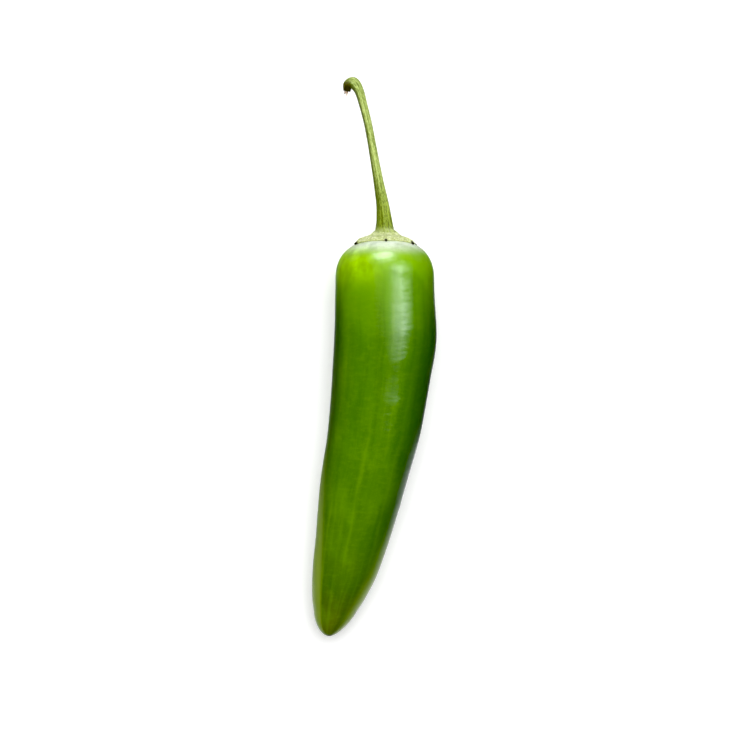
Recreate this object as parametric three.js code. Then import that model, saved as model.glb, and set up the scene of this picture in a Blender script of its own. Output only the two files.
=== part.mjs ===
// A green chilli pepper as picked, lying on its side on a flat surface.
// It is two bodies: the glossy pod, and the stalk with the calyx that caps the pod's crown.
// Millimetres. +Y runs from the pod's tip to the stalk, +Z is up, and z = 0 is the surface
// that the pod rests on. The origin is under the middle of the whole pepper.

import * as THREE from "three";

// Pod. "along" is the distance from the crown, where the calyx sits, towards the tip.
const POD_LENGTH = 99.95;
const CROWN_Y = 29.4;
const CROWN_DEPTH = 10.5; // how far along the shoulder takes to reach the full width
const CROWN_POWER = 2.5; // 2 is a round shoulder, and more is a squarer one
const TIP_DEPTH = 6.0;
const TIP_POWER = 2.0;
const POD_STATIONS = [
  // along, half width, centre x, half height, underside z
  { along: 0, half: 12.35, x: 2.65, tall: 12.2, under: 0.1 },
  { along: 12.5, half: 12.6, x: 2.6, tall: 12.3, under: -0.15 },
  { along: 25.5, half: 13.05, x: 2.65, tall: 12.6, under: -0.3 },
  { along: 36.5, half: 12.45, x: 1.5, tall: 12.1, under: -0.25 },
  { along: 48.5, half: 11.85, x: -0.15, tall: 11.5, under: -0.25 },
  { along: 60.5, half: 11.1, x: -2.65, tall: 10.7, under: -0.3 },
  { along: 72.5, half: 9.85, x: -5.0, tall: 9.5, under: -0.3 },
  { along: 84.5, half: 8.3, x: -7.5, tall: 7.8, under: 0.2 },
  { along: 90.5, half: 6.75, x: -9.05, tall: 6.5, under: 0.8 },
  { along: 94, half: 5.45, x: -9.95, tall: 5.3, under: 1.5 },
  { along: POD_LENGTH, half: 3.75, x: -11.45, tall: 3.7, under: 2.6 },
];
const RIB_ANGLES = [41, 139, 222, 318]; // the four soft corners of the pod's section, in degrees
const RIB_RISE = 0.017; // of the radius
const RIB_MEAN = 0.6; // of the rise, so that the corners don't make the section larger
const RIB_SPREAD = 26; // degrees
const RIB_FADE_CROWN = 14;
const RIB_FADE_TIP = 34;
const POD_SEGMENTS = 56;
const CROWN_RINGS = 10;
const BODY_RINGS = 25;
const TIP_RINGS = 7;

// Calyx: the cap of fused sepals, with a small dried tooth at the end of each midrib.
const CALYX_GAP = 0.3;
const CALYX_RADIUS = 7.3; // to the bays between the teeth
const TOOTH_LENGTH = 0.8;
const TOOTH_POWER = 7; // more makes a narrower tooth
const TOOTH_ANGLES = [28, 88, 158, 213, 268, 343];
const CALYX_THICKNESS = 0.5;
const CALYX_UNDER_RINGS = 6;
const CALYX_EDGE = 1.012; // how far out the middle of the rounded rim stands, as a share of the radius
const MIDRIB_RISE = 0.18;
const SEGMENTS_PER_TOOTH = 10;
const CALYX_TOP = [
  // share of the rim's radius, rise over the cap where it sweeps up into the stalk
  { share: 0.985, rise: 0 },
  { share: 0.88, rise: 0.02 },
  { share: 0.76, rise: 0.05 },
  { share: 0.64, rise: 0.1 },
  { share: 0.53, rise: 0.22 },
  { share: 0.45, rise: 0.45 },
  { share: 0.38, rise: 0.85 },
];

// Stalk: it leaves the calyx along +Y, thins, and hooks over at the scar where it left the plant.
const STALK_PATH = [
  [2.45, 31.7, 12.35],
  [2.3, 34.1, 12.5],
  [1.85, 38.1, 12.75],
  [1.05, 42.6, 12.95],
  [0.15, 47.6, 13.0],
  [-0.9, 53.6, 12.8],
  [-1.85, 58.6, 12.4],
  [-2.95, 63.1, 11.9],
  [-4.0, 66.8, 11.4],
  [-5.45, 69.0, 10.9],
  [-6.65, 68.45, 10.5],
  [-6.95, 66.7, 10.2],
];
const STALK_RADII = [
  // share of the path, radius
  [0, 2.25],
  [0.05, 1.97],
  [0.16, 1.68],
  [0.32, 1.32],
  [0.5, 1.13],
  [0.72, 1.07],
  [0.88, 1.2],
  [0.95, 1.38],
  [1, 1.25],
];
const STALK_RIB_RISE = 0.08; // of the radius
const STALK_TWIST = 35; // degrees over the whole stalk
const STALK_RINGS = 38;
const SCAR_RIM = 0.68; // of the end's radius
const SCAR_HOLLOW = 0.3;
const SCAR_CORE = 0.05;

const radians = THREE.MathUtils.degToRad;

// A smooth curve through [position, value] rows.
function smooth(rows, at) {
  let i = 0;
  while (i < rows.length - 2 && at > rows[i + 1][0]) i++;
  const [x0, y0] = rows[i];
  const [x1, y1] = rows[i + 1];
  const slope = (a, b) => (rows[b][1] - rows[a][1]) / (rows[b][0] - rows[a][0]);
  const m0 = i > 0 ? slope(i - 1, i + 1) : slope(i, i + 1);
  const m1 = i < rows.length - 2 ? slope(i, i + 2) : slope(i, i + 1);
  const t = THREE.MathUtils.clamp((at - x0) / (x1 - x0), 0, 1);
  const h = x1 - x0;
  return (
    (2 * t ** 3 - 3 * t ** 2 + 1) * y0 +
    (t ** 3 - 2 * t ** 2 + t) * h * m0 +
    (3 * t ** 2 - 2 * t ** 3) * y1 +
    (t ** 3 - t ** 2) * h * m1
  );
}

function station(name, along) {
  return smooth(POD_STATIONS.map((s) => [s.along, s[name]]), along);
}

// The shortest way round from angle b to angle a, in degrees.
function turn(a, b) {
  return ((((a - b + 180) % 360) + 360) % 360) - 180;
}

// How full the pod is at a distance along it: 0 at both ends and 1 between them.
function fullness(along) {
  const crown = Math.max(0, 1 - along / CROWN_DEPTH);
  const tip = Math.max(0, 1 - (POD_LENGTH - along) / TIP_DEPTH);
  return (
    Math.max(0, 1 - crown ** CROWN_POWER) ** (1 / CROWN_POWER) *
    Math.max(0, 1 - tip ** TIP_POWER) ** (1 / TIP_POWER)
  );
}

// How far the soft corners stand out, as a share of the radius. They fade towards both ends.
function ribbing(along, angle) {
  let rib = -RIB_MEAN;
  for (const at of RIB_ANGLES) rib += Math.exp(-((turn(angle, at) / RIB_SPREAD) ** 2));
  const { smoothstep } = THREE.MathUtils;
  const fade = smoothstep(along, 0, RIB_FADE_CROWN) * smoothstep(POD_LENGTH - along, 0, RIB_FADE_TIP);
  return RIB_RISE * rib * fade;
}

// A point of the pod's skin. Angle 0 is +X and 90 degrees is straight up.
function podPoint(along, angle) {
  const full = fullness(along) * (1 + ribbing(along, angle));
  const tall = station("tall", along);
  const a = radians(angle);
  const point = new THREE.Vector3(
    station("x", along) + station("half", along) * full * Math.cos(a),
    CROWN_Y - along,
    station("under", along) + tall + tall * full * Math.sin(a),
  );
  point.z = Math.max(0, point.z); // the small flat that the pod rests on
  return point;
}

// A closed solid through rings of points from +Y to -Y, with a point to close each end.
function loft(first, rings, last) {
  const count = rings[0].length;
  const positions = [first, ...rings.flat(), last].flatMap((p) => [p.x, p.y, p.z]);
  const index = [];
  const at = (ring, k) => 1 + ring * count + (k % count);
  const end = 1 + rings.length * count;
  for (let k = 0; k < count; k++) {
    index.push(0, at(0, k + 1), at(0, k));
    for (let ring = 0; ring < rings.length - 1; ring++) {
      const [a, b] = [at(ring, k), at(ring, k + 1)];
      const [c, d] = [at(ring + 1, k), at(ring + 1, k + 1)];
      index.push(a, b, d, a, d, c);
    }
    index.push(at(rings.length - 1, k), at(rings.length - 1, k + 1), end);
  }
  const geometry = new THREE.BufferGeometry();
  geometry.setAttribute("position", new THREE.Float32BufferAttribute(positions, 3));
  geometry.setIndex(index);
  geometry.computeVertexNormals();
  return geometry;
}

function podGeometry() {
  const stops = [];
  for (let k = 1; k <= CROWN_RINGS; k++) {
    const a = ((k / CROWN_RINGS) * Math.PI) / 2;
    stops.push(CROWN_DEPTH * (1 - Math.cos(a) ** (2 / CROWN_POWER)));
  }
  const bodyLength = POD_LENGTH - CROWN_DEPTH - TIP_DEPTH;
  for (let k = 1; k <= BODY_RINGS; k++) {
    stops.push(CROWN_DEPTH + (k / BODY_RINGS) * bodyLength);
  }
  for (let k = 1; k < TIP_RINGS; k++) {
    const a = ((k / TIP_RINGS) * Math.PI) / 2;
    stops.push(POD_LENGTH - TIP_DEPTH * (1 - Math.sin(a)));
  }
  const rings = stops.map((along) =>
    Array.from({ length: POD_SEGMENTS }, (_, k) =>
      podPoint(along, (360 * k) / POD_SEGMENTS),
    ),
  );
  return loft(podPoint(0, 0), rings, podPoint(POD_LENGTH, 0));
}

// The angles round the stalk, with the same number of steps from each tooth to the next.
function toothSteps() {
  const steps = [];
  TOOTH_ANGLES.forEach((from, i) => {
    const to = TOOTH_ANGLES[(i + 1) % TOOTH_ANGLES.length];
    const span = (to - from + 360) % 360;
    for (let k = 0; k < SEGMENTS_PER_TOOTH; k++) {
      const share = k / SEGMENTS_PER_TOOTH;
      steps.push({ angle: from + span * share, share });
    }
  });
  return steps;
}

// 1 on a midrib and 0 halfway between two of them.
const midrib = (share) => (1 + Math.cos(2 * Math.PI * share)) / 2;

// How far along the pod its shoulder has a given radius.
function alongAtRadius(radius) {
  const share = radius / POD_STATIONS[0].half;
  return CROWN_DEPTH * (1 - (1 - share ** CROWN_POWER) ** (1 / CROWN_POWER));
}

// A point over the shoulder, at a radius from the crown and a height above the skin.
function overShoulder(radius, angle, height) {
  const along = alongAtRadius(radius);
  const nudge = 0.05;
  const skin = podPoint(along, angle);
  const further = podPoint(along + nudge, angle).sub(skin);
  const round = podPoint(along, angle + 1).sub(podPoint(along, angle - 1));
  const out = round.cross(further).normalize();
  return skin.addScaledVector(out, height);
}

function calyxRings(steps) {
  const rim = ({ share }) =>
    CALYX_RADIUS + TOOTH_LENGTH * Math.abs(2 * share - 1) ** TOOTH_POWER;
  const ring = (radiusShare, heightAt) =>
    steps.map((step) =>
      overShoulder(rim(step) * radiusShare, step.angle, heightAt(step)),
    );
  const top = (step) =>
    CALYX_GAP + CALYX_THICKNESS + MIDRIB_RISE * midrib(step.share);
  const rings = [];
  for (let k = 1; k <= CALYX_UNDER_RINGS; k++) {
    rings.push(ring(k / CALYX_UNDER_RINGS, () => CALYX_GAP));
  }
  rings.push(ring(CALYX_EDGE, (step) => (CALYX_GAP + top(step)) / 2));
  for (const { share, rise } of CALYX_TOP) {
    rings.push(ring(share, (step) => top(step) + rise));
  }
  return rings;
}

function stalkRings(steps) {
  const path = new THREE.CatmullRomCurve3(
    STALK_PATH.map((p) => new THREE.Vector3(...p)),
    false,
    "centripetal",
  );
  const rings = [];
  let side = new THREE.Vector3(1, 0, 0);
  for (let k = 0; k <= STALK_RINGS; k++) {
    const share = k / STALK_RINGS;
    const centre = path.getPointAt(share);
    const ahead = path.getTangentAt(share);
    side.addScaledVector(ahead, -side.dot(ahead)).normalize();
    const up = side.clone().cross(ahead);
    const radius = smooth(STALK_RADII, share);
    rings.push(
      steps.map((step) => {
        const a = radians(step.angle + STALK_TWIST * share);
        const ribbed = radius * (1 + STALK_RIB_RISE * (2 * midrib(step.share) - 1));
        return centre
          .clone()
          .addScaledVector(side, ribbed * Math.cos(a))
          .addScaledVector(up, ribbed * Math.sin(a));
      }),
    );
  }
  return { rings, end: path.getPointAt(1), ahead: path.getTangentAt(1) };
}

// The stalk and the calyx are one grown piece. Its scar is a shallow cup round a small core.
function stalkGeometry() {
  const steps = toothSteps();
  const { rings, end, ahead } = stalkRings(steps);
  const lip = rings[rings.length - 1];
  const cup = lip.map((p) =>
    end.clone().lerp(p, SCAR_RIM).addScaledVector(ahead, -SCAR_HOLLOW),
  );
  const core = end.clone().addScaledVector(ahead, SCAR_CORE);
  const pole = podPoint(0, 0);
  pole.y += CALYX_GAP;
  return loft(core, [...calyxRings(steps), ...rings, cup].reverse(), pole);
}

function named(name, geometry, material) {
  const mesh = new THREE.Mesh(geometry, material);
  mesh.name = name;
  return mesh;
}

const podSkin = new THREE.MeshStandardMaterial({
  color: new THREE.Color(0.16, 0.33, 0.02),
  roughness: 0.28,
  metalness: 0,
});
const stalkSkin = new THREE.MeshStandardMaterial({
  color: new THREE.Color(0.42, 0.5, 0.14),
  roughness: 0.65,
  metalness: 0,
});

const chilli = new THREE.Group();
chilli.add(named("pod", podGeometry(), podSkin));
chilli.add(named("stalk", stalkGeometry(), stalkSkin));

export default chilli;
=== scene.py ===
# A green chilli pepper, as picked, lying on a pale surface under soft studio light.
# The pod and the stalk are made here as finer meshes on the part's own driving sizes,
# which are in millimetres. Every Blender object is in metres. +Y runs from the pod's tip
# to the stalk, +Z is up, and z = 0 is the surface that the chilli lies on.

import math

import bpy
import numpy as np
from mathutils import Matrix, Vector, noise


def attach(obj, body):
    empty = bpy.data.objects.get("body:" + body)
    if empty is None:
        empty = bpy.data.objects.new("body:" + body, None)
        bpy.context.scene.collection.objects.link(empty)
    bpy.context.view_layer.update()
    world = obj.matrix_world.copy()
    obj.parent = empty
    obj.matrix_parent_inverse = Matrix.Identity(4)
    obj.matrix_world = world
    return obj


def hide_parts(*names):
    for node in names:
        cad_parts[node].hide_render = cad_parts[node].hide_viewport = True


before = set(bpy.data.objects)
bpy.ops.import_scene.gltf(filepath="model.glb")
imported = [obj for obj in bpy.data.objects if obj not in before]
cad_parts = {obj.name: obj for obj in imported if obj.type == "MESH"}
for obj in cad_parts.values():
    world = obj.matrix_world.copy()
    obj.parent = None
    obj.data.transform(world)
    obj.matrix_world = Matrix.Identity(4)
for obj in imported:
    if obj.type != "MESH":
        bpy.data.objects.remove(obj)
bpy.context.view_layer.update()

MM = 0.001

# Pod. "along" is the distance from the crown, where the calyx sits, towards the tip.
POD_LENGTH = 99.95
CROWN_Y = 29.4
CROWN_DEPTH = 10.5
CROWN_POWER = 2.5
TIP_DEPTH = 6.0
TIP_POWER = 2.0
POD_HALF = [(0, 12.35), (12.5, 12.6), (25.5, 13.05), (36.5, 12.45), (48.5, 11.85), (60.5, 11.1),
            (72.5, 9.85), (84.5, 8.3), (90.5, 6.75), (94, 5.45), (POD_LENGTH, 3.75)]
POD_X = [(0, 2.65), (12.5, 2.6), (25.5, 2.65), (36.5, 1.5), (48.5, -0.15), (60.5, -2.65),
         (72.5, -5.0), (84.5, -7.5), (90.5, -9.05), (94, -9.95), (POD_LENGTH, -11.45)]
POD_TALL = [(0, 12.2), (12.5, 12.3), (25.5, 12.6), (36.5, 12.1), (48.5, 11.5), (60.5, 10.7),
            (72.5, 9.5), (84.5, 7.8), (90.5, 6.5), (94, 5.3), (POD_LENGTH, 3.7)]
POD_UNDER = [(0, 0.1), (12.5, -0.15), (25.5, -0.3), (36.5, -0.25), (48.5, -0.25), (60.5, -0.3),
             (72.5, -0.3), (84.5, 0.2), (90.5, 0.8), (94, 1.5), (POD_LENGTH, 2.6)]
RIB_ANGLES = [41, 139, 222, 318]
RIB_RISE = 0.008
RIB_MEAN = 0.6
RIB_SPREAD = 26
RIB_FADE_CROWN = 14
RIB_FADE_TIP = 34

# The finer relief of the skin, in millimetres.
SKIN_INSET = 0.13
SWELL_SIZE, SWELL = (9.0, 15.0, 9.0), 0.13
RIPPLE_SIZE, RIPPLE = (3.2, 5.5, 3.2), 0.045
CREASE_SIZE, CREASE = (2.6, 0.85, 2.6), 0.02
GROOVES = [
    # angle, half width in degrees, depth, along where it fades out
    (101, 9, 0.06, 46),
    (78, 8, 0.07, 60),
    (22, 8, 0.10, 60),
    (160, 9, 0.12, 80),
    (200, 10, 0.14, 70),
    (268, 10, 0.10, 60),
    (338, 10, 0.14, 75),
]
DENTS = [
    # along, angle, half length, half width in degrees, depth
    (10.2, 70, 1.5, 22, 0.09),
    (16.5, 74, 1.3, 14, 0.03),
    (21.5, 70, 1.4, 14, 0.03),
    (26.5, 72, 1.5, 14, 0.05),
    (30.8, 72, 2.0, 14, -0.06),
    (41.0, 64, 2.2, 13, -0.16),
]
POD_SEGMENTS = 200
CROWN_RINGS = 50
BODY_RINGS = 330
TIP_RINGS = 50

# Calyx: the cap of fused sepals, with a small dried tooth at the end of each midrib.
CALYX_GAP = 0.3
CALYX_RADIUS = 7.3
TOOTH_LENGTH = 1.0
TOOTH_POWER = 9
TOOTH_ANGLES = [28, 88, 158, 213, 268, 343]
TOOTH_CURL = 0.15
# Steps round the calyx rim: each one's rise, and how much dried stain and painted contact shadow it
# takes.
RIM_STEPS = [(0.15, 1), (0.45, 0.75), (0.8, 0.3)]
CALYX_THICKNESS = 0.42
CALYX_RIM_TOP = 0.3
CALYX_TUCK = -0.06
MIDRIB_RISE = 0.2
CALYX_TOP = [(0.38, 0.85), (0.45, 0.45), (0.53, 0.22), (0.64, 0.1), (0.76, 0.05), (0.88, 0.02), (1, 0)]
CALYX_INNER = 0.38
CALYX_FIBRE = 0.05
RIM_WAVER = 0.16
RIM_FLATTEN = 0.2
SEGMENTS_PER_TOOTH = 40
CALYX_UNDER_RINGS = 6
CALYX_TOP_RINGS = 40

# Stalk: it leaves the calyx along +Y, thins, and hooks over at the scar where it left the plant.
STALK_PATH = [
    (2.5, 31.7, 12.35), (2.4, 34.1, 12.5), (2.0, 38.1, 12.75), (1.2, 42.6, 12.95),
    (0.3, 47.6, 13.0), (-0.75, 53.6, 12.8), (-1.72, 58.6, 12.4), (-2.85, 63.1, 11.9),
    (-3.95, 66.75, 11.4), (-5.35, 68.6, 10.9), (-6.55, 68.2, 10.5), (-6.95, 66.6, 10.2),
]
STALK_RADII = [(0, 2.3), (0.05, 1.95), (0.16, 1.5), (0.32, 1.15), (0.5, 0.97), (0.72, 0.94),
               (0.86, 1.12), (0.92, 1.38), (0.955, 1.3), (0.98, 1.08), (1, 0.85)]
STALK_RIB_RISE = 0.07
STALK_TWIST = 35
STALK_GRAIN = 0.03
STALK_RINGS = 230
SCAR_START = 0.94
SCAR_WALL = 0.86
SCAR_RIM = 0.68
SCAR_FLOOR = 0.3
SCAR_HOLLOW = 0.3
SCAR_RAGGED = 0.22

# Pale fibres torn out of the scar.
FIBRES = 14
FIBRE_LENGTH = (0.2, 0.9)
FIBRE_ROOT = 0.35
FIBRE_RADIUS = 0.27
FIBRE_SIDES = 8
FIBRE_RINGS = 7

# The floor and the lights, in metres. Each shine lamp has its place, size, power and aim.
FLOOR_HALF = 3.0
FLOOR_LOW = -0.0001
SHINE_LAMPS = {
    "window": ((-0.03, 0.72, 0.43), (0.52, 0.4), 7.2, (-0.03, 0, 0)),
    "soft_box": ((0.64, 0.3, 0.82), (0.46, 0.6), 3.3, (0, 0, 0.012)),
    "soft_box_core": ((0.57, 0.3, 0.86), (0.42, 0.18), 1.25, (0, 0, 0.012)),
    "soft_box_end": ((0.52, -0.04, 0.86), (0.2, 0.32), 0.6, (0, 0, 0.012)),
}

# The camera looks straight down on the middle of the photographed frame.
PHOTO_SIZE = 750
MM_PER_PIXEL = 0.25
CAMERA_HEIGHT = 600.0
SHARP_HEIGHT = 12.5
SENSOR = 36.0
VIEW_CENTRE = (0.125, -4.625)

# What the gloss reflects, by the sine of the height: bright close under the pod, dark elsewhere.
# Low down, it is also pale behind the stalk and beside the tip.
WORLD_HEIGHTS = [(-1.0, 1.1), (-0.93, 0.2), (-0.8, 0.02), (-0.5, 0.01), (1.0, 0.02)]
WORLD_BACK = 0.6
WORLD_SIDE = 0.7
WORLD_COLOUR = (0.94, 0.97, 1.0)
SHINE_COLOUR = (0.86, 0.93, 1.0)
BLACK_LEVEL = (0.02, 0.02, 0.02)

# The skin's colours, from the crown at 0 to the tip at 1.
# The pale, bright stops at the crown end are partly the skin's own paler shoulder and partly painted
# light and sheen from the lamp beyond the stalk.
POD_COLOURS = [
    (0.0, (0.42, 0.58, 0.10)),
    (0.045, (0.28, 0.56, 0.006)),
    (0.10, (0.165, 0.38, 0.002)),
    (0.17, (0.108, 0.27, 0.001)),
    (0.26, (0.080, 0.210, 0.001)),
    (0.45, (0.076, 0.202, 0.001)),
    (0.65, (0.080, 0.200, 0.001)),
    (0.82, (0.085, 0.185, 0.001)),
    (0.92, (0.078, 0.128, 0.001)),
    (1.0, (0.15, 0.19, 0.01)),
]
# Painted light: the left side of the shoulder drawn brighter chartreuse, partly the skin's own colour
# and partly light falling on that side.
PAINTED_LIGHT_SHOULDER_GREEN = (0.47, 0.82, 0.004)
# Painted sheen: the whitish haze that the window lamp beyond the stalk casts round the crown, stronger
# on top.
PAINTED_SHEEN_WHITE = (0.84, 0.94, 0.76)
LIGHT_STREAK = (0.19, 0.35, 0.003)
DARK_STREAK = (0.034, 0.12, 0.001)
LIGHT_CLOUD = (0.15, 0.32, 0.001)
DARK_CLOUD = (0.05, 0.15, 0.001)
FLECK = (0.21, 0.35, 0.02)
# Painted shade: the deep green that darkens both flanks.
PAINTED_SHADE_GREEN = (0.012, 0.062, 0.001)
# Painted reflection: the floor's pale reflection and bounce light on the rims towards the tip.
PAINTED_BOUNCE_EDGE = (0.26, 0.38, 0.04)
TIP_SCAR = (0.12, 0.07, 0.02)

# The stalk's and the calyx's colours, from the darker strands and patches to the paler ones.
STEM_COLOURS = [(0.40, (0.13, 0.19, 0.015)), (0.5, (0.33, 0.43, 0.085)), (0.60, (0.58, 0.69, 0.21))]
CAP_COLOURS = [(0.36, (0.40, 0.47, 0.14)), (0.5, (0.60, 0.67, 0.30)), (0.64, (0.78, 0.83, 0.50))]
LOW_STEM_DARK = (0.11, 0.15, 0.004)
LOW_STEM_LIGHT = (0.33, 0.44, 0.03)
STEM_SHADE = (0.10, 0.14, 0.008)
SPECK = (0.13, 0.16, 0.02)
# Dried stain along the calyx rim, with painted contact shadow where the rim meets the pod.
RIM_STAIN_AND_SHADE = (0.20, 0.21, 0.03)
DRY_TOOTH = (0.018, 0.016, 0.006)
SCAR_OLIVE = (0.10, 0.095, 0.010)
SCAR_BROWN = (0.042, 0.036, 0.012)
SCAR_INSIDE = (0.30, 0.22, 0.13)
FIBRE_COLOURS = [(0.3, (0.25, 0.15, 0.08)), (0.65, (0.72, 0.55, 0.42))]
FLOOR_TONES = [(0.3, (0.90, 0.90, 0.90)), (0.7, (0.93, 0.93, 0.93))]


def smooth(rows, at):
    """A smooth curve through (position, value) rows, read at an array of positions."""
    x, y = np.array(rows, float).T
    ends = np.diff(y) / np.diff(x)
    slope = np.concatenate([ends[:1], (y[2:] - y[:-2]) / (x[2:] - x[:-2]), ends[-1:]])
    at = np.asarray(at, float)
    i = np.clip(np.searchsorted(x, at) - 1, 0, len(x) - 2)
    h = x[i + 1] - x[i]
    t = np.clip((at - x[i]) / h, 0, 1)
    return (
        (2 * t**3 - 3 * t**2 + 1) * y[i]
        + (t**3 - 2 * t**2 + t) * h * slope[i]
        + (3 * t**2 - 2 * t**3) * y[i + 1]
        + (t**3 - t**2) * h * slope[i + 1]
    )


def turn(a, b):
    """The shortest way round from angle b to angle a, in degrees."""
    return (np.asarray(a) - b + 180) % 360 - 180


def smoothstep(x, low, high):
    t = np.clip((np.asarray(x, float) - low) / (high - low), 0, 1)
    return t * t * (3 - 2 * t)


def lumps(points, size):
    """Soft random lumps of about the given size, from -1 to 1, at an array of points."""
    shape = points.shape[:-1]
    flat = (points / np.array(size)).reshape(-1, 3)
    return np.array([noise.noise(Vector(p)) for p in flat]).reshape(shape)


def fullness(along):
    """How full the pod is at a distance along it: 0 at both ends and 1 between them."""
    crown = np.clip(1 - along / CROWN_DEPTH, 0, 1)
    tip = np.clip(1 - (POD_LENGTH - along) / TIP_DEPTH, 0, 1)
    return (1 - crown**CROWN_POWER) ** (1 / CROWN_POWER) * (1 - tip**TIP_POWER) ** (1 / TIP_POWER)


def ribbing(along, angle):
    """How far the four soft corners stand out, as a share of the radius."""
    rib = sum(np.exp(-((turn(angle, at) / RIB_SPREAD) ** 2)) for at in RIB_ANGLES) - RIB_MEAN
    fade = smoothstep(along, 0, RIB_FADE_CROWN) * smoothstep(POD_LENGTH - along, 0, RIB_FADE_TIP)
    return RIB_RISE * rib * fade


def pod_point(along, angle, relief=0.0):
    """Points of the pod's skin. Angle 0 is +X, 90 degrees is straight up, relief is in mm."""
    half = smooth(POD_HALF, along)
    tall = smooth(POD_TALL, along)
    full = fullness(along) * (1 + ribbing(along, angle) + relief / half)
    a = np.radians(angle)
    x = smooth(POD_X, along) + half * full * np.cos(a)
    y = CROWN_Y - along + 0 * a
    z = smooth(POD_UNDER, along) + tall + tall * full * np.sin(a)
    return np.stack(np.broadcast_arrays(x, y, np.maximum(z, 0)), -1)


def skin_relief(along, angle):
    """The lumps, ripples and shallow grooves that break up the pod's gloss."""
    points = pod_point(along, angle)
    relief = SWELL * lumps(points, SWELL_SIZE) + RIPPLE * lumps(points, RIPPLE_SIZE) - SKIN_INSET
    relief = relief + CREASE * lumps(points, CREASE_SIZE)
    for at, width, depth, reach in GROOVES:
        fade = 1 - smoothstep(along, reach * 0.4, reach)
        relief = relief - depth * fade * np.exp(-((turn(angle, at) / width) ** 2))
    for centre, at, length, width, depth in DENTS:
        away = ((along - centre) / length) ** 2 + (turn(angle, at) / width) ** 2
        relief = relief - depth * np.exp(-away)
    return relief


def loft(name, first, rings, last, **attributes):
    """A closed mesh through rings of points from +Y to -Y, with one point to close each end.
    Each attribute is an array of rings by points, for a material to read."""
    rows, count = rings.shape[:2]
    points = np.concatenate([[first], rings.reshape(-1, 3), [last]]) * MM
    k = np.arange(count)
    ahead = (k + 1) % count
    faces = [(0, 1 + b, 1 + a) for a, b in zip(k, ahead)]
    for row in range(rows - 1):
        start, below = 1 + row * count, 1 + (row + 1) * count
        faces += [(start + a, start + b, below + b, below + a) for a, b in zip(k, ahead)]
    end = 1 + rows * count
    start = end - count
    faces += [(start + a, start + b, end) for a, b in zip(k, ahead)]
    mesh = bpy.data.meshes.new(name)
    mesh.from_pydata(points.tolist(), [], [tuple(int(i) for i in f) for f in faces])
    mesh.shade_smooth()
    for key, values in attributes.items():
        write_attribute(mesh, key, values, rows, count)
    piece = bpy.data.objects.new(name, mesh)
    bpy.context.scene.collection.objects.link(piece)
    return piece


def write_attribute(mesh, key, values, rows, count):
    """Stores a number or a vector for each point. The two end points copy their nearest ring."""
    vector = values.ndim == 3
    flat = values.reshape(rows * count, -1)
    flat = np.concatenate([flat[:count].mean(0)[None], flat, flat[-count:].mean(0)[None]])
    made = mesh.attributes.new(key, "FLOAT_VECTOR" if vector else "FLOAT", "POINT")
    made.data.foreach_set("vector" if vector else "value", flat.astype(np.float32).ravel())


def build_pod():
    crown = np.linspace(0, math.pi / 2, CROWN_RINGS + 1)[1:]
    tip = np.linspace(0, math.pi / 2, TIP_RINGS + 1)[1:-1]
    body = np.linspace(CROWN_DEPTH, POD_LENGTH - TIP_DEPTH, BODY_RINGS + 1)[1:]
    along = np.concatenate([
        CROWN_DEPTH * (1 - np.cos(crown) ** (2 / CROWN_POWER)),
        body,
        POD_LENGTH - TIP_DEPTH * (1 - np.sin(tip)),
    ])[:, None]
    angle = (np.arange(POD_SEGMENTS) * 360 / POD_SEGMENTS)[None, :]
    rings = pod_point(along, angle, skin_relief(along, angle))
    a = np.radians(angle)
    share = along / POD_LENGTH
    place = np.stack(np.broadcast_arrays(np.cos(a), np.sin(a), share), -1)
    first = pod_point(np.array(0.0), np.array(0.0))
    last = pod_point(np.array(POD_LENGTH), np.array(0.0))
    last[1] += SKIN_INSET
    return loft("pod_skin", first, rings, last, place=place)


def over_shoulder(radius, angle, height):
    """Points over the pod's shoulder, at a radius from the crown and a height above the skin."""
    share = radius / POD_HALF[0][1]
    along = CROWN_DEPTH * (1 - (1 - share**CROWN_POWER) ** (1 / CROWN_POWER))
    nudge = 0.05
    skin = pod_point(along, angle)
    further = pod_point(along + nudge, angle) - skin
    around = pod_point(along, angle + 1) - pod_point(along, angle - 1)
    out = np.cross(around, further)
    out /= np.linalg.norm(out, axis=-1, keepdims=True)
    return skin + out * np.asarray(height)[..., None]


def tooth_steps():
    """The angles round the stalk, and each one's share of the way from a tooth to the next."""
    share = np.arange(SEGMENTS_PER_TOOTH) / SEGMENTS_PER_TOOTH
    angles = []
    for k, start in enumerate(TOOTH_ANGLES):
        span = (TOOTH_ANGLES[(k + 1) % len(TOOTH_ANGLES)] - start) % 360
        angles.append(start + span * share)
    return np.concatenate(angles), np.tile(share, len(TOOTH_ANGLES))


def stalk_path():
    """Even steps along the stalk's middle line, with the direction ahead at each."""
    corners = np.array(STALK_PATH)
    chord = np.concatenate([[0], np.cumsum(np.linalg.norm(np.diff(corners, axis=0), axis=1))])
    dense = np.linspace(0, chord[-1], 2000)
    line = np.stack([smooth(np.stack([chord, c], 1), dense) for c in corners.T], 1)
    length = np.concatenate([[0], np.cumsum(np.linalg.norm(np.diff(line, axis=0), axis=1))])
    share = np.linspace(0, 1, STALK_RINGS + 1)
    middle = np.stack([np.interp(share * length[-1], length, c) for c in line.T], 1)
    ahead = np.gradient(middle, axis=0)
    ahead /= np.linalg.norm(ahead, axis=1, keepdims=True)
    return share, middle, ahead


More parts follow.
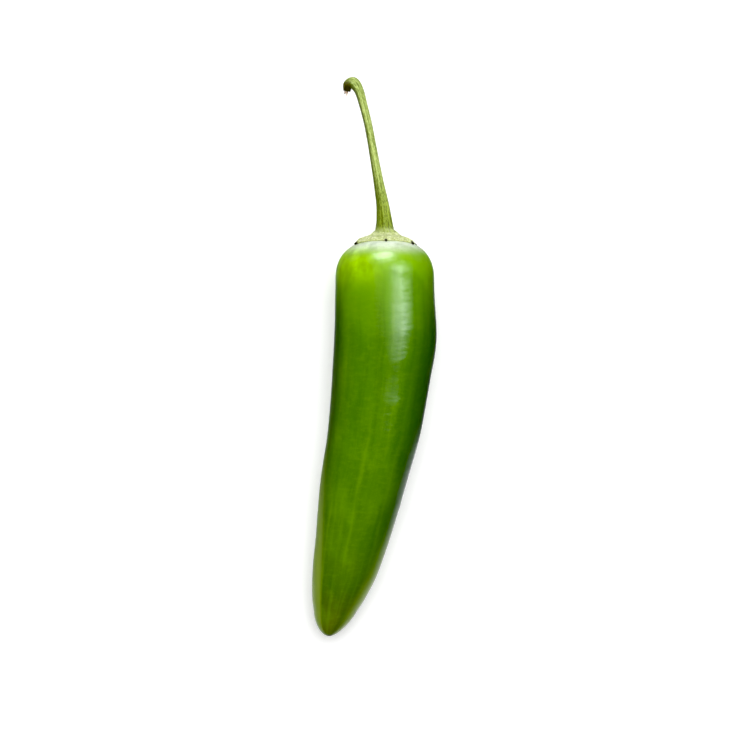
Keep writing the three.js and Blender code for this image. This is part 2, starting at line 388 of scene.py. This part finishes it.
def calyx_rings(angle, share):
    """The cap from under its middle, out round the rim, and up over its top to the stalk."""
    tooth = np.abs(2 * share - 1) ** TOOTH_POWER
    midrib = (1 + np.cos(2 * np.pi * share)) / 2
    a = np.radians(angle)
    circle = np.stack([np.cos(a), np.sin(a), 0 * a], -1)
    waver = RIM_WAVER * lumps(circle * 4, (1, 1, 1))
    rim = (CALYX_RADIUS + waver) * (1 - RIM_FLATTEN * np.sin(a) ** 2) + TOOTH_LENGTH * tooth
    rings, edge, dried = [], [], []
    for k in range(1, CALYX_UNDER_RINGS + 1):
        out = k / CALYX_UNDER_RINGS
        height = CALYX_GAP + (CALYX_TUCK - CALYX_GAP) * smoothstep(out, 0.5, 1)
        rings.append(over_shoulder(rim * out * 0.995, angle, height + 0 * angle))
        edge.append(out**8 + 0 * angle)
        dried.append(out**8 * tooth)
    curl = TOOTH_CURL * tooth
    for rise, stain_and_shade in RIM_STEPS:
        height = CALYX_TUCK + (CALYX_RIM_TOP - CALYX_TUCK) * rise + curl * rise
        rings.append(over_shoulder(rim * 1.006, angle, height))
        edge.append(stain_and_shade + 0 * angle)
        dried.append(tooth)
    for out in np.linspace(1, CALYX_INNER, CALYX_TOP_RINGS):
        near_rim = smoothstep(out, 0.8, 1)
        top = (CALYX_GAP + CALYX_THICKNESS) * (1 - near_rim) + CALYX_RIM_TOP * near_rim
        veins = lumps(np.stack([circle[:, 0] * 7, circle[:, 1] * 7, 0 * a + out * 4], -1), (1, 1, 1))
        height = (
            top
            + smooth(CALYX_TOP, out)
            + MIDRIB_RISE * midrib * smoothstep(1 - out, 0, 0.2)
            + CALYX_FIBRE * veins
            + curl * smoothstep(out, 0.85, 1)
        )
        rings.append(over_shoulder(rim * out, angle, height))
        edge.append(0.3 * smoothstep(out, 0.9, 1) + 0 * angle)
        dried.append(smoothstep(out, 0.9, 0.97) * tooth)
    return np.array(rings), np.array(edge), np.array(dried)


def stalk_rings(angle, share):
    along, middle, ahead = stalk_path()
    midrib = np.cos(2 * np.pi * share)
    side = np.array([1.0, 0, 0])
    rings = []
    for at, centre, forward in zip(along, middle, ahead):
        side = side - side.dot(forward) * forward
        side /= np.linalg.norm(side)
        up = np.cross(side, forward)
        a = np.radians(angle + STALK_TWIST * at)
        circle = np.stack([np.cos(a), np.sin(a), 0 * a], -1)
        grain = lumps(np.stack([circle[:, 0] * 4, circle[:, 1] * 4, 0 * a + at * 9], -1), (1, 1, 1))
        scar = smoothstep(at, SCAR_START, 1)
        rough = lumps(np.stack([circle[:, 0] * 3, circle[:, 1] * 3, 0 * a + at * 60], -1), (1, 1, 1))
        radius = smooth(STALK_RADII, at) * (1 + STALK_RIB_RISE * midrib * (1 - scar))
        radius = radius + STALK_GRAIN * grain + 0.1 * scar * rough
        rings.append(centre + radius[:, None] * (np.cos(a)[:, None] * side + np.sin(a)[:, None] * up))
    return along, np.array(rings), middle[-1], ahead[-1]


def build_stalk():
    """The stalk and the calyx in one closed mesh. Returns it with the scar's place and direction."""
    angle, share = tooth_steps()
    cap, cap_edge, cap_tooth = calyx_rings(angle, share)
    along, stem, end, ahead = stalk_rings(angle, share)
    a = np.radians(angle)
    ragged = SCAR_RAGGED * lumps(np.stack([np.cos(a), np.sin(a), 0 * a], -1) * 3, (1, 1, 1))
    stem[-1] += ragged[:, None] * ahead
    wall = end + (stem[-1] - end) * SCAR_WALL - 0.1 * ahead
    cup = end + (stem[-1] - end) * SCAR_RIM - SCAR_HOLLOW * ahead
    floor = end + (stem[-1] - end) * SCAR_FLOOR - SCAR_HOLLOW * 0.6 * ahead
    rings = np.concatenate([cap, stem, [wall, cup, floor]])
    rows = len(rings)
    reach = np.concatenate([-np.linspace(1, 0, len(cap)), along, [1, 1, 1]])[:, None] + 0 * angle
    edge = np.zeros((rows, len(angle)))
    edge[: len(cap)] = cap_edge
    tooth = np.zeros_like(edge)
    tooth[: len(cap)] = cap_tooth
    scar = smoothstep(reach, SCAR_START - 0.03, 1)
    inside = np.zeros_like(edge)
    inside[-3:] = 1
    around = a[None] + np.radians(STALK_TWIST) * np.clip(reach, 0, 1)
    place = np.stack([np.cos(around), np.sin(around), reach], -1)
    pole = pod_point(np.array(0.0), np.array(0.0)) + (0, CALYX_GAP, 0)
    piece = loft(
        "stalk_and_calyx", end + 0.05 * ahead, rings[::-1], pole,
        place=place[::-1], edge=edge[::-1], tooth=tooth[::-1], scar=scar[::-1], inside=inside[::-1],
    )
    return piece, end, ahead


def build_fibres(end, ahead):
    """Short torn fibres that stand out of the scar, each a bent cone, in one mesh."""
    draw = np.random.default_rng(11)
    points, faces = [], []
    side = np.cross(ahead, (0, 0, 1.0))
    side /= np.linalg.norm(side)
    up = np.cross(side, ahead)
    for _ in range(FIBRES):
        a = draw.uniform(0, 2 * math.pi)
        out = math.cos(a) * side + math.sin(a) * up
        root = end + out * draw.uniform(0.1, 0.6) - FIBRE_ROOT * ahead
        length = draw.uniform(*FIBRE_LENGTH) + FIBRE_ROOT
        bend = draw.normal(0, 0.2, 3)
        width = FIBRE_RADIUS * draw.uniform(0.6, 1.2)
        first = len(points)
        for ring in range(FIBRE_RINGS):
            t = ring / (FIBRE_RINGS - 1)
            centre = root + ahead * length * t + bend * t * t
            for k in range(FIBRE_SIDES):
                b = 2 * math.pi * k / FIBRE_SIDES
                radius = width * (1 - 0.8 * t)
                points.append(centre + radius * (math.cos(b) * side * 1.4 + math.sin(b) * up * 0.7))
        points += [root, root + ahead * (length + 0.03) + bend]
        last = first + FIBRE_RINGS * FIBRE_SIDES
        for k in range(FIBRE_SIDES):
            k2 = (k + 1) % FIBRE_SIDES
            faces.append((last, first + k, first + k2))
            for ring in range(FIBRE_RINGS - 1):
                low = first + ring * FIBRE_SIDES
                high = low + FIBRE_SIDES
                faces.append((low + k, high + k, high + k2, low + k2))
            top = last - FIBRE_SIDES
            faces.append((top + k, last + 1, top + k2))
    mesh = bpy.data.meshes.new("scar_fibres")
    mesh.from_pydata((np.array(points) * MM).tolist(), [], faces)
    mesh.shade_smooth()
    piece = bpy.data.objects.new("scar_fibres", mesh)
    bpy.context.scene.collection.objects.link(piece)
    return piece


class Nodes:
    """The node tree of a material or a world, with a method for each kind of node used here."""

    def __init__(self, owner):
        owner.use_nodes = True
        self.owner = owner
        self.tree = owner.node_tree

    def put(self, socket, value):
        if isinstance(value, bpy.types.NodeSocket):
            self.tree.links.new(value, socket)
        else:
            socket.default_value = value

    def attribute(self, name, kind="Fac"):
        made = self.tree.nodes.new("ShaderNodeAttribute")
        made.attribute_name = name
        return made.outputs[kind]

    def split(self, vector):
        made = self.tree.nodes.new("ShaderNodeSeparateXYZ")
        self.put(made.inputs[0], vector)
        return made.outputs

    def stretch(self, vector, scale):
        made = self.tree.nodes.new("ShaderNodeVectorMath")
        made.operation = "MULTIPLY"
        self.put(made.inputs[0], vector)
        made.inputs[1].default_value = scale
        return made.outputs[0]

    def position(self):
        return self.tree.nodes.new("ShaderNodeTexCoord").outputs["Object"]

    def direction(self):
        return self.tree.nodes.new("ShaderNodeTexCoord").outputs["Generated"]

    def warp(self, vector, scale, amount):
        """The vector pushed aside by soft noise, so that what is drawn on it wanders."""
        made = self.tree.nodes.new("ShaderNodeTexNoise")
        self.put(made.inputs["Vector"], self.position())
        made.inputs["Scale"].default_value = scale
        push = self.tree.nodes.new("ShaderNodeVectorMath")
        push.operation = "MULTIPLY_ADD"
        self.put(push.inputs[0], made.outputs["Color"])
        push.inputs[1].default_value = (amount, amount, amount)
        self.put(push.inputs[2], vector)
        return push.outputs[0]

    def noise(self, vector, scale, detail=3.0, roughness=0.5):
        made = self.tree.nodes.new("ShaderNodeTexNoise")
        self.put(made.inputs["Vector"], vector)
        made.inputs["Scale"].default_value = scale
        made.inputs["Detail"].default_value = detail
        made.inputs["Roughness"].default_value = roughness
        return made.outputs["Fac"]

    def math(self, operation, a, b=0.0, c=0.0):
        made = self.tree.nodes.new("ShaderNodeMath")
        made.operation = operation
        for socket, value in zip(made.inputs, (a, b, c)):
            self.put(socket, value)
        return made.outputs[0]

    def times(self, a, b):
        return self.math("MULTIPLY", a, b)

    def span(self, value, low, high, to_low=0.0, to_high=1.0, smooth=True):
        """value from low..high mapped onto to_low..to_high, smoothly unless told otherwise."""
        made = self.tree.nodes.new("ShaderNodeMapRange")
        made.interpolation_type = "SMOOTHSTEP" if smooth else "LINEAR"
        for key, number in zip(("Value", "From Min", "From Max", "To Min", "To Max"),
                               (value, low, high, to_low, to_high)):
            self.put(made.inputs[key], number)
        return made.outputs["Result"]

    def ramp(self, factor, stops):
        made = self.tree.nodes.new("ShaderNodeValToRGB")
        made.color_ramp.interpolation = "B_SPLINE" if len(stops) > 5 else "EASE"
        elements = made.color_ramp.elements
        while len(elements) < len(stops):
            elements.new(0.5)
        for element, (at, colour) in zip(elements, stops):
            element.position = at
            element.color = (*colour, 1)
        self.put(made.inputs[0], factor)
        return made.outputs["Color"]

    def mix(self, factor, a, b, mode="MIX"):
        made = self.tree.nodes.new("ShaderNodeMix")
        made.data_type = "RGBA"
        made.blend_type = mode
        sockets = [s for s in made.inputs if s.type == "RGBA"]
        self.put(made.inputs["Factor"], factor)
        for socket, value in zip(sockets, (a, b)):
            self.put(socket, value if isinstance(value, bpy.types.NodeSocket) else (*value, 1))
        return next(s for s in made.outputs if s.type == "RGBA")

    def bump(self, height, distance, strength=1.0, under=None):
        made = self.tree.nodes.new("ShaderNodeBump")
        made.inputs["Strength"].default_value = strength
        made.inputs["Distance"].default_value = distance
        self.put(made.inputs["Height"], height)
        if under is not None:
            self.put(made.inputs["Normal"], under)
        return made.outputs["Normal"]

    def finish(self, **values):
        shader = self.tree.nodes["Principled BSDF"]
        for key, value in values.items():
            self.put(shader.inputs[key.replace("_", " ")], value)
        return self.owner


def pod_material():
    """Waxy green skin: chartreuse at the shoulder, deeper along the body, olive at the tip, with
    painted light on the left shoulder, a painted sheen round the crown, painted shade on the flanks
    and a painted reflection along the rims towards the tip.
    """
    n = Nodes(bpy.data.materials.new("pod_skin"))
    place = n.attribute("place", "Vector")
    right, up, along = n.split(place)
    wander = n.noise(n.position(), 60, 2)
    where = n.math("ADD", along, n.times(n.math("SUBTRACT", wander, 0.5), 0.1))
    base = n.ramp(where, POD_COLOURS)
    # Painted light: the left side of the shoulder mixed brighter, partly the skin's own chartreuse and
    # partly light falling on that side.
    painted_light_shoulder = n.times(n.span(right, 0.0, -0.45, 0, 0.8), n.span(along, 0.14, 0.05))
    base = n.mix(painted_light_shoulder, base, PAINTED_LIGHT_SHOULDER_GREEN)
    # Painted sheen: a whitish ring round the crown, stronger on top, standing in for the haze of the
    # window lamp's reflection.
    painted_sheen = n.math("MULTIPLY_ADD", n.math("SUBTRACT", wander, 0.5), 0.01, along)
    painted_sheen = n.times(n.span(painted_sheen, 0.048, 0.012), n.span(up, -0.6, 0.3, 0.35, 1))
    base = n.mix(painted_sheen, base, PAINTED_SHEEN_WHITE)
    wavy = n.warp(place, 90, 0.16)
    streaks = n.noise(n.stretch(wavy, (7, 7, 3)), 1.0, 2, 0.5)
    clear = n.span(along, 0.03, 0.2)
    light_streaks = n.times(n.span(streaks, 0.5, 0.75, 0, 0.3), clear)
    base = n.mix(light_streaks, base, LIGHT_STREAK)
    dark_streaks = n.times(n.span(streaks, 0.5, 0.28, 0, 0.35), clear)
    base = n.mix(dark_streaks, base, DARK_STREAK)
    threads = n.noise(n.stretch(wavy, (20, 20, 6)), 1.0, 3, 0.6)
    fine_threads = n.times(n.span(threads, 0.45, 0.75, 0, 0.1), clear)
    base = n.mix(fine_threads, base, LIGHT_STREAK)
    clouds = n.noise(n.stretch(n.position(), (1, 0.6, 1)), 170, 3, 0.55)
    base = n.mix(n.span(clouds, 0.5, 0.7, 0, 0.35), base, LIGHT_CLOUD)
    base = n.mix(n.span(clouds, 0.5, 0.3, 0, 0.35), base, DARK_CLOUD)
    ripples = n.noise(n.stretch(n.position(), (0.5, 1.2, 0.5)), 1000, 2)
    base = n.mix(n.span(ripples, 0.45, 0.75, 0, 0.2), base, LIGHT_STREAK)
    flecks = n.noise(n.position(), 2600, 2)
    base = n.mix(n.span(flecks, 0.5, 0.8, 0, 0.2), base, FLECK)
    # Painted shade: both flanks darkened to deep green, the +X flank more and further round, fading
    # towards the tip.
    body = n.span(along, 0.05, 0.24)
    to_tip = n.span(along, 0.6, 0.95)
    near = n.math("MULTIPLY_ADD", to_tip, -0.5, 0.35)
    far = n.math("MULTIPLY_ADD", to_tip, -0.4, 1.0)
    painted_shade_right = n.times(n.span(right, near, far, 0, 0.8), body)
    painted_shade_right = n.times(painted_shade_right, n.span(along, 0.55, 0.9, 1, 0.3))
    base = n.mix(painted_shade_right, base, PAINTED_SHADE_GREEN)
    painted_shade_left = n.times(n.span(right, -0.70, -0.98, 0, 0.65), n.span(along, 0.7, 0.35))
    base = n.mix(n.times(painted_shade_left, body), base, PAINTED_SHADE_GREEN)
    # Painted reflection: a pale yellow-green band along both rims towards the tip, fading on the
    # underside, standing in for the floor's reflection and bounce light.
    edge = n.math("MULTIPLY_ADD", n.span(along, 0.62, 1.05), -0.55, 0.86)
    painted_bounce_right = n.span(right, edge, n.math("ADD", edge, 0.5), 0, 0.9)
    painted_bounce_right = n.times(painted_bounce_right, n.span(along, 0.55, 0.75))
    edge = n.math("MULTIPLY_ADD", n.span(along, 0.45, 1.0), 0.35, -0.90)
    painted_bounce_left = n.span(right, edge, n.math("SUBTRACT", edge, 0.2))
    painted_bounce_left = n.times(painted_bounce_left, n.span(along, 0.15, 0.6))
    painted_bounce = n.times(n.math("MAXIMUM", painted_bounce_left, painted_bounce_right), n.span(up, -0.45, 0.0))
    base = n.mix(painted_bounce, base, PAINTED_BOUNCE_EDGE)
    scar = n.span(along, 0.9975, 0.9999)
    base = n.mix(scar, base, TIP_SCAR)
    dents = n.bump(n.noise(n.stretch(n.position(), (0.7, 1.2, 0.7)), 420, 1), 0.00005, 0.35)
    crest = n.span(n.math("ABSOLUTE", right), 0.9, 0.6)
    dents = n.bump(n.times(ripples, crest), 0.00004, 0.6, dents)
    return n.finish(
        Base_Color=base,
        Roughness=0.28,
        IOR=1.6,
        Normal=dents,
        Coat_Weight=0.15,
        Coat_Roughness=0.2,
        Coat_IOR=1.5,
        Coat_Normal=dents,
        Subsurface_Weight=0.08,
        Subsurface_Radius=(0.6, 1.0, 0.15),
        Subsurface_Scale=0.0016,
    )


def stalk_material():
    """Pale yellow-green fibrous skin, browned along the calyx rim, its teeth and the scar. The rim's
    darkening is partly painted contact shadow, and one side of the stalk has painted shade.
    """
    n = Nodes(bpy.data.materials.new("stalk_skin"))
    place = n.attribute("place", "Vector")
    right, _, reach = n.split(place)
    strands = n.noise(n.stretch(place, (4.5, 4.5, 6)), 1.0, 2, 0.5)
    fibres = n.noise(n.stretch(place, (6, 6, 45)), 1.0, 3, 0.6)
    weave = n.math("MULTIPLY_ADD", strands, 0.45, n.times(fibres, 0.55))
    base = n.ramp(weave, STEM_COLOURS)
    stem = n.span(reach, -0.02, 0.02)
    low_stem = n.times(n.span(reach, 0.42, 0.06, 0, 1), stem)
    deep = n.mix(n.span(weave, 0.40, 0.60), LOW_STEM_DARK, LOW_STEM_LIGHT)
    base = n.mix(low_stem, base, deep)
    shade = n.times(n.span(right, -0.5, -0.8, 0, 0.8), stem)
    base = n.mix(shade, base, STEM_SHADE)
    on_cap = n.span(reach, 0.03, -0.05)
    mottle = n.noise(n.position(), 1500, 4, 0.7)
    cap = n.ramp(mottle, CAP_COLOURS)
    base = n.mix(on_cap, base, cap)
    speck = n.noise(n.position(), 2300, 3, 0.6)
    base = n.mix(n.span(speck, 0.56, 0.68, 0, 0.5), base, SPECK)
    edge = n.attribute("edge")
    # The rim's dried stain, with painted contact shadow along its edge.
    stain_and_shade = n.times(n.span(edge, 0.3, 1, 0, 0.8), n.span(mottle, 0.38, 0.55, 0.3, 1))
    base = n.mix(stain_and_shade, base, RIM_STAIN_AND_SHADE)
    tooth = n.attribute("tooth")
    base = n.mix(n.span(tooth, 0.25, 0.6), base, DRY_TOOTH)
    scar = n.attribute("scar")
    inner = n.span(right, 0.5, -0.4, 0.45, 1.2)
    burnt = n.times(n.times(scar, inner), n.span(speck, 0.2, 0.8, 1.4, 0.8))
    base = n.mix(n.span(burnt, 0.05, 0.5), base, SCAR_OLIVE)
    base = n.mix(n.span(burnt, 0.55, 1.0), base, SCAR_BROWN)
    base = n.mix(n.attribute("inside"), base, SCAR_INSIDE)
    grain = n.bump(fibres, 0.0001, 0.6)
    pits = n.bump(speck, 0.00005, 0.6, grain)
    return n.finish(
        Base_Color=base,
        Roughness=n.span(speck, 0.3, 0.7, 0.5, 0.72),
        Normal=pits,
        Subsurface_Weight=0.08,
        Subsurface_Radius=(0.8, 1.0, 0.3),
        Subsurface_Scale=0.0008,
    )


def fibre_material():
    """Dry pale fibres, browner in patches."""
    n = Nodes(bpy.data.materials.new("scar_fibres"))
    tone = n.noise(n.position(), 1800, 3)
    base = n.ramp(tone, FIBRE_COLOURS)
    return n.finish(Base_Color=base, Roughness=0.8, Normal=n.bump(tone, 0.00005, 0.6))


def floor_material():
    n = Nodes(bpy.data.materials.new("pale_surface"))
    tone = n.noise(n.position(), 40, 2)
    base = n.ramp(tone, FLOOR_TONES)
    return n.finish(
        Base_Color=base,
        Roughness=0.9,
        Specular_IOR_Level=0.2,
        Emission_Color=(1, 1, 1, 1),
        Emission_Strength=0.25,
    )


def build_floor():
    mesh = bpy.data.meshes.new("floor")
    turns = [(-1, -1), (1, -1), (1, 1), (-1, 1)]
    corners = [(x * FLOOR_HALF, y * FLOOR_HALF, FLOOR_LOW) for x, y in turns]
    mesh.from_pydata(corners, [], [(0, 1, 2, 3)])
    mesh.materials.append(floor_material())
    floor = bpy.data.objects.new("floor", mesh)
    bpy.context.scene.collection.objects.link(floor)
    floor.visible_glossy = False


def aim(thing, at):
    direction = Vector(at) - thing.location
    thing.rotation_euler = direction.to_track_quat("-Z", "Y").to_euler()


def area_light(name, place, size, power, at, role):
    """A soft box in metres, facing a point. Its role is to light the surfaces or to shine on them."""
    data = bpy.data.lights.new(name, "AREA")
    data.shape = "RECTANGLE"
    data.size, data.size_y = size
    data.energy = power
    data.color = SHINE_COLOUR if role == "shine" else (1, 1, 1)
    light = bpy.data.objects.new(name, data)
    light.visible_glossy = role == "shine"
    light.visible_diffuse = role == "light"
    bpy.context.scene.collection.objects.link(light)
    light.location = place
    aim(light, at)


def build_lights():
    """A wide soft light overhead, a leaning window beyond the stalk, and a long soft box."""
    area_light("overhead", (0.12, 0.45, 1.5), (1.8, 1.6), 40, (0, 0, 0), "light")
    for name, (place, size, power, at) in SHINE_LAMPS.items():
        area_light(name, place, size, power, at, "shine")


def build_world():
    """Pale behind the scene. Reflections also see it pale low behind the stalk, beside the tip
    and under the pod, and dark elsewhere."""
    world = bpy.data.worlds.new("studio")
    n = Nodes(world)
    across, back, height = n.split(n.direction())
    under = n.ramp(n.span(height, -1, 1, smooth=False), [
        ((at + 1) / 2, (strength,) * 3) for at, strength in WORLD_HEIGHTS
    ])
    behind = n.times(n.span(back, 0.4, 0.8), n.span(height, 0.1, -0.15))
    strength = n.math("MULTIPLY_ADD", behind, WORLD_BACK, under)
    slant = n.math("DIVIDE", back, across)
    right = n.times(n.span(slant, -0.29, -0.43), n.span(across, 0.02, 0.12))
    left = n.times(n.span(slant, 0.0, 0.3), n.span(across, -0.02, -0.12))
    side = n.times(n.math("MAXIMUM", left, right), n.span(height, -0.45, -0.7))
    strength = n.math("MULTIPLY_ADD", side, WORLD_SIDE, strength)
    path = n.tree.nodes.new("ShaderNodeLightPath")
    strength = n.math("MAXIMUM", strength, path.outputs["Is Camera Ray"])
    shader = n.tree.nodes["Background"]
    shader.inputs["Color"].default_value = (*WORLD_COLOUR, 1)
    n.put(shader.inputs["Strength"], strength)
    bpy.context.scene.world = world


def set_tone():
    """The crisp tone of the photograph: plain colours with the darkest tones drawn down."""
    view = bpy.context.scene.view_settings
    view.view_transform = "Standard"
    view.use_curve_mapping = True
    view.curve_mapping.black_level = BLACK_LEVEL
    view.curve_mapping.update()


def build_camera():
    data = bpy.data.cameras.new("camera")
    data.sensor_width = SENSOR
    data.lens = SENSOR * CAMERA_HEIGHT / (PHOTO_SIZE * MM_PER_PIXEL)
    camera = bpy.data.objects.new("camera", data)
    bpy.context.scene.collection.objects.link(camera)
    camera.location = Vector((*VIEW_CENTRE, SHARP_HEIGHT + CAMERA_HEIGHT)) * MM
    bpy.context.scene.camera = camera


def dress(piece, material, slot, *nodes):
    piece.data.materials.append(material)
    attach(piece, "root")
    if nodes:
        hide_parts(*nodes)


build_camera()
build_lights()
build_world()
build_floor()
set_tone()

pod = build_pod()
dress(pod, pod_material(), "pod_skin", "pod")
stalk, scar_place, scar_direction = build_stalk()
dress(stalk, stalk_material(), "stalk_skin", "stalk")
fibres = build_fibres(scar_place, scar_direction)
dress(fibres, fibre_material(), "stalk_skin")
